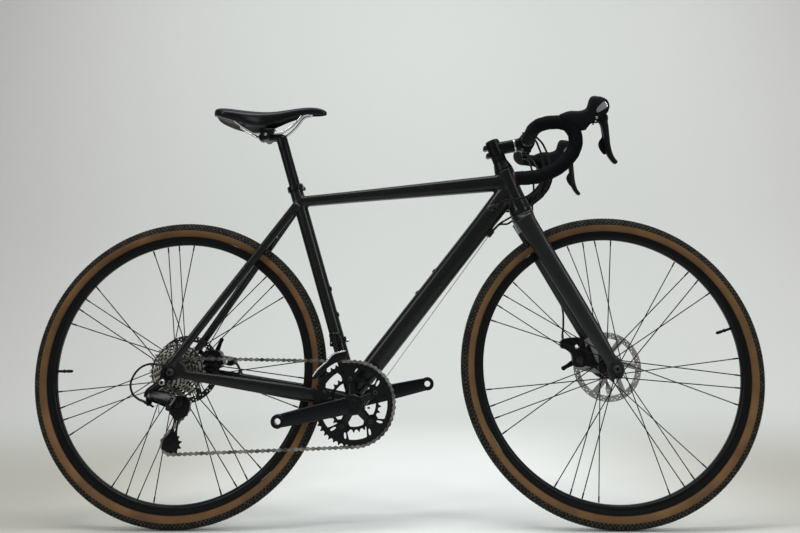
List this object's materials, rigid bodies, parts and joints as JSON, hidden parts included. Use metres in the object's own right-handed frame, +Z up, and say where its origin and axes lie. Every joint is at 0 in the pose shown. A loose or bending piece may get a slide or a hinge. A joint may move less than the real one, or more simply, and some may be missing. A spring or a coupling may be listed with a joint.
{
  "type": "cyclocross bike",
  "caption": "Drop-bar cyclocross bike with cable disc brakes, double crankset and knobbed tyres; wheels, steering, cranks, derailleurs, levers and seatpost move.",
  "frame": {"origin": "on the ground, halfway between the wheel contacts, in the plane of the wheels", "axes": "+X forward, +Y to the bike's left, +Z up; the drive side is at -Y"},
  "size_m": [1.7166, 0.4554, 0.993],
  "materials": {
    "frame_paint": "satin",
    "black_metal": "satin",
    "glossy_black": "gloss",
    "tyre_rubber": "matte",
    "soft_rubber": "matte",
    "saddle_cover": "gloss",
    "black_plastic": "matte",
    "silver": "brushed",
    "sprocket_steel": "satin",
    "chain_steel": "satin"
  },
  "bodies": {
    "frame_body": {"frame": "frame_paint", "bracket_cup_right": "black_metal", "bracket_cup_left": "black_metal", "derailleur_hanger": "black_metal", "derailleur_upper_knuckle": "black_metal", "front_derailleur_body": "black_metal", "seat_clamp": "black_metal", "rear_caliper": "black_metal", "rear_axle": "silver", "chain": "chain_steel", "rear_brake_housing": "black_plastic", "shift_housing_right": "black_plastic", "shift_housing_left": "black_plastic", "rear_brake_tail_housing": "black_plastic", "derailleur_housing": "black_plastic", "down_tube_cables": "sprocket_steel"},
    "steering_body": {"fork": "frame_paint", "headset_cover": "black_metal", "stem": "black_metal", "stem_faceplate": "black_metal", "stem_cap": "black_metal", "handlebar": "black_metal", "tape_left": "soft_rubber", "tape_right": "soft_rubber", "hood_left": "soft_rubber", "hood_right": "soft_rubber", "front_caliper": "black_metal", "front_axle": "silver", "front_brake_housing": "black_plastic"},
    "front_wheel": {"front_tyre": "tyre_rubber", "front_rim": "black_metal", "front_hub": "black_metal", "front_rotor": "silver"},
    "rear_wheel": {"rear_tyre": "tyre_rubber", "rear_rim": "black_metal", "rear_hub": "black_metal", "rear_rotor": "silver"},
    "cassette_body": {"cassette": "sprocket_steel"},
    "crankset": {"crank_right": "glossy_black", "crank_left": "glossy_black", "chainring_outer": "black_metal", "chainring_inner": "black_metal"},
    "outer_link": {"derailleur_outer_link": "glossy_black"},
    "inner_link": {"derailleur_inner_link": "black_metal"},
    "lower_knuckle": {"derailleur_lower_knuckle": "glossy_black"},
    "cage": {"derailleur_cage": "black_metal"},
    "guide_wheel": {"guide_pulley": "black_plastic"},
    "tension_wheel": {"tension_pulley": "black_plastic"},
    "front_changer": {"front_derailleur_cage": "silver"},
    "lever_left": {"brake_lever_left": "black_metal"},
    "lever_right": {"brake_lever_right": "black_metal"},
    "paddle_left": {"shift_paddle_left": "black_metal"},
    "paddle_right": {"shift_paddle_right": "black_metal"},
    "front_arm": {"front_caliper_arm": "black_metal"},
    "rear_arm": {"rear_caliper_arm": "black_metal"},
    "front_lever": {"front_quick_release": "silver"},
    "rear_lever": {"rear_quick_release": "silver"},
    "seat": {"seatpost": "black_metal", "saddle_rails": "silver", "saddle": "saddle_cover"}
  },
  "joints": [
    {"name": "steering", "type": "hinge", "parent": "frame_body", "child": "steering_body", "pos_m": [0.45662, 0, 0.33119], "axis": [-0.342, 0, 0.9397], "range_deg": [-60, 60], "deforming": ["rear_brake_housing", "shift_housing_right", "shift_housing_left"]},
    {"name": "front_wheel_spin", "type": "hinge", "parent": "steering_body", "child": "front_wheel", "pos_m": [0.5083, 0, 0.35], "axis": [0, 1, 0], "continuous": true},
    {"name": "rear_wheel_spin", "type": "hinge", "parent": "frame_body", "child": "rear_wheel", "pos_m": [-0.5083, 0, 0.35], "axis": [0, 1, 0], "continuous": true},
    {"name": "crank_spin", "type": "hinge", "parent": "frame_body", "child": "crankset", "pos_m": [-0.09002, 0, 0.277], "axis": [0, 1, 0], "continuous": true, "deforming": ["chain"]},
    {"name": "cassette_spin", "type": "hinge", "parent": "frame_body", "child": "cassette_body", "pos_m": [-0.5083, 0, 0.35], "axis": [0, 1, 0], "continuous": true},
    {"name": "derailleur_outer_link_pivot", "type": "hinge", "parent": "frame_body", "child": "outer_link", "pos_m": [-0.5423, -0.084, 0.302], "axis": [0.2418, 0.7071, 0.6645], "range_deg": [-30, 49]},
    {"name": "derailleur_inner_link_pivot", "type": "hinge", "parent": "frame_body", "child": "inner_link", "pos_m": [-0.54569, -0.0741, 0.2927], "axis": [0.2418, 0.7071, 0.6645], "range_deg": [-30, 49]},
    {"name": "derailleur_knuckle_pivot", "type": "hinge", "parent": "outer_link", "child": "lower_knuckle", "pos_m": [-0.50283, -0.084, 0.28764], "axis": [0.2418, 0.7071, 0.6645], "range_deg": [-49, 30]},
    {"name": "derailleur_cage_pivot", "type": "hinge", "parent": "lower_knuckle", "child": "cage", "pos_m": [-0.4923, -0.047, 0.284], "axis": [0, 1, 0], "range_deg": [-45, 20]},
    {"name": "guide_pulley_spin", "type": "hinge", "parent": "cage", "child": "guide_wheel", "pos_m": [-0.4904, -0.047, 0.27227], "axis": [0, 1, 0], "continuous": true},
    {"name": "tension_pulley_spin", "type": "hinge", "parent": "cage", "child": "tension_wheel", "pos_m": [-0.5061, -0.047, 0.19139], "axis": [0, 1, 0], "continuous": true},
    {"name": "front_derailleur_pivot", "type": "hinge", "parent": "frame_body", "child": "front_changer", "pos_m": [-0.13602, -0.032, 0.429], "axis": [1, 0, 0], "range_deg": [0, 8]},
    {"name": "brake_lever_left_pivot", "type": "hinge", "parent": "steering_body", "child": "lever_left", "pos_m": [0.47801, 0.211, 0.90001], "axis": [0, 1, 0], "range_deg": [0, 22], "stiffness_Nm_per_rad": 0.2, "springref_deg": -17.19},
    {"name": "brake_lever_right_pivot", "type": "hinge", "parent": "steering_body", "child": "lever_right", "pos_m": [0.47801, -0.211, 0.90001], "axis": [0, 1, 0], "range_deg": [0, 22], "stiffness_Nm_per_rad": 0.2, "springref_deg": -17.19},
    {"name": "shift_paddle_left_pivot", "type": "hinge", "parent": "lever_left", "child": "paddle_left", "pos_m": [0.48601, 0.2042, 0.88401], "axis": [-1, 0, 0], "range_deg": [0, 15], "stiffness_Nm_per_rad": 0.05, "springref_deg": -11.46},
    {"name": "shift_paddle_right_pivot", "type": "hinge", "parent": "lever_right", "child": "paddle_right", "pos_m": [0.48601, -0.2042, 0.88401], "axis": [1, 0, 0], "range_deg": [0, 15], "stiffness_Nm_per_rad": 0.05, "springref_deg": -11.46},
    {"name": "front_caliper_arm_pivot", "type": "hinge", "parent": "steering_body", "child": "front_arm", "pos_m": [0.4423, 0.046, 0.367], "axis": [0, 1, 0], "range_deg": [0, 25]},
    {"name": "rear_caliper_arm_pivot", "type": "hinge", "parent": "frame_body", "child": "rear_arm", "pos_m": [-0.4463, 0.065, 0.376], "axis": [0, 1, 0], "range_deg": [0, 25]},
    {"name": "front_quick_release_pivot", "type": "hinge", "parent": "steering_body", "child": "front_lever", "pos_m": [0.5083, 0.0701, 0.35], "axis": [0.995, 0, 0.0995], "range_deg": [0, 180]},
    {"name": "rear_quick_release_pivot", "type": "hinge", "parent": "frame_body", "child": "rear_lever", "pos_m": [-0.5083, 0.0876, 0.35], "axis": [-0.8944, 0, -0.4472], "range_deg": [0, 180]},
    {"name": "seatpost_slide", "type": "slide", "parent": "frame_body", "child": "seat", "axis": [-0.2857, 0, 0.9583], "range_m": [-0.05, 0.05]}
  ],
  "couplings": [
    {"joint": "cassette_spin", "follows": "crank_spin", "ratio": 3.0667},
    {"joint": "guide_pulley_spin", "follows": "crank_spin", "ratio": -4.1818},
    {"joint": "tension_pulley_spin", "follows": "crank_spin", "ratio": 4.1818},
    {"joint": "derailleur_inner_link_pivot", "follows": "derailleur_outer_link_pivot", "ratio": 1},
    {"joint": "derailleur_knuckle_pivot", "follows": "derailleur_outer_link_pivot", "ratio": -1},
    {"joint": "front_caliper_arm_pivot", "follows": "brake_lever_left_pivot", "ratio": 1.1},
    {"joint": "rear_caliper_arm_pivot", "follows": "brake_lever_right_pivot", "ratio": 1.1}
  ]
}
